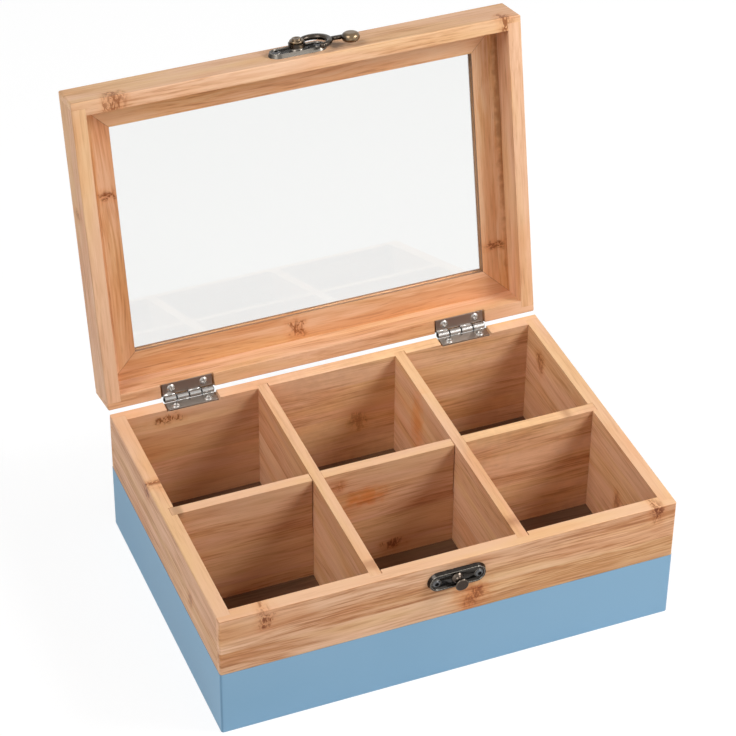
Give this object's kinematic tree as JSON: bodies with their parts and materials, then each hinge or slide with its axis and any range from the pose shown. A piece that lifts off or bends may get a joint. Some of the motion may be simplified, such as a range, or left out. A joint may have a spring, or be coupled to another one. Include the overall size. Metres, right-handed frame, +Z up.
{
  "type": "tea bag box",
  "caption": "Bamboo tea bag box with a divided base, a painted lower band and a hinged lid with a glass window and a hook latch.",
  "frame": {"origin": "middle of the base's underside, on the surface the box stands on", "axes": "+X to the right along the width, +Y to the back, -Y the latch side, +Z up"},
  "size_m": [0.2302, 0.2232, 0.2341],
  "materials": {
    "bamboo": "satin lacquer",
    "bamboo_panel": "satin lacquer",
    "blue_paint": "satin paint on wood",
    "window_glass": "clear",
    "nickel": "nickel plate",
    "antique_bronze": "dark antique patina",
    "worn_brass": "patina worn back to brass"
  },
  "bodies": {
    "base": {"front_wall": "bamboo", "back_wall": "bamboo", "left_wall": "bamboo", "right_wall": "bamboo", "bottom_panel": "bamboo_panel", "long_divider": "bamboo", "cross_divider_left": "bamboo", "cross_divider_right": "bamboo", "paint_band": "blue_paint", "hinge_left_base_leaf": "nickel", "hinge_left_pin": "nickel", "hinge_right_base_leaf": "nickel", "hinge_right_pin": "nickel", "hinge_base_screws": "nickel", "catch_plate": "antique_bronze", "catch_peg": "antique_bronze", "catch_nails": "antique_bronze"},
    "lid": {"lid_front_rail": "bamboo", "lid_back_rail": "bamboo", "lid_left_rail": "bamboo", "lid_right_rail": "bamboo", "window_front_rail": "bamboo", "window_back_rail": "bamboo", "window_left_stile": "bamboo", "window_right_stile": "bamboo", "glass_pane": "window_glass", "hinge_left_lid_leaf": "nickel", "hinge_right_lid_leaf": "nickel", "hinge_lid_screws": "nickel", "latch_plate": "antique_bronze", "latch_rivet": "worn_brass", "latch_nails": "antique_bronze"},
    "hook": {"latch_hook": "antique_bronze"}
  },
  "joints": [
    {"name": "lid_hinge", "type": "hinge", "parent": "base", "child": "lid", "pos_m": [0, 0.0814, 0.0692], "axis": [1, 0, 0], "range_deg": [0, 102]},
    {"name": "latch_hook_pivot", "type": "hinge", "parent": "lid", "child": "hook", "pos_m": [0.0015, 0.12465, 0.22553], "axis": [0, -0.2079, -0.9781], "range_deg": [0, 71.5]}
  ]
}
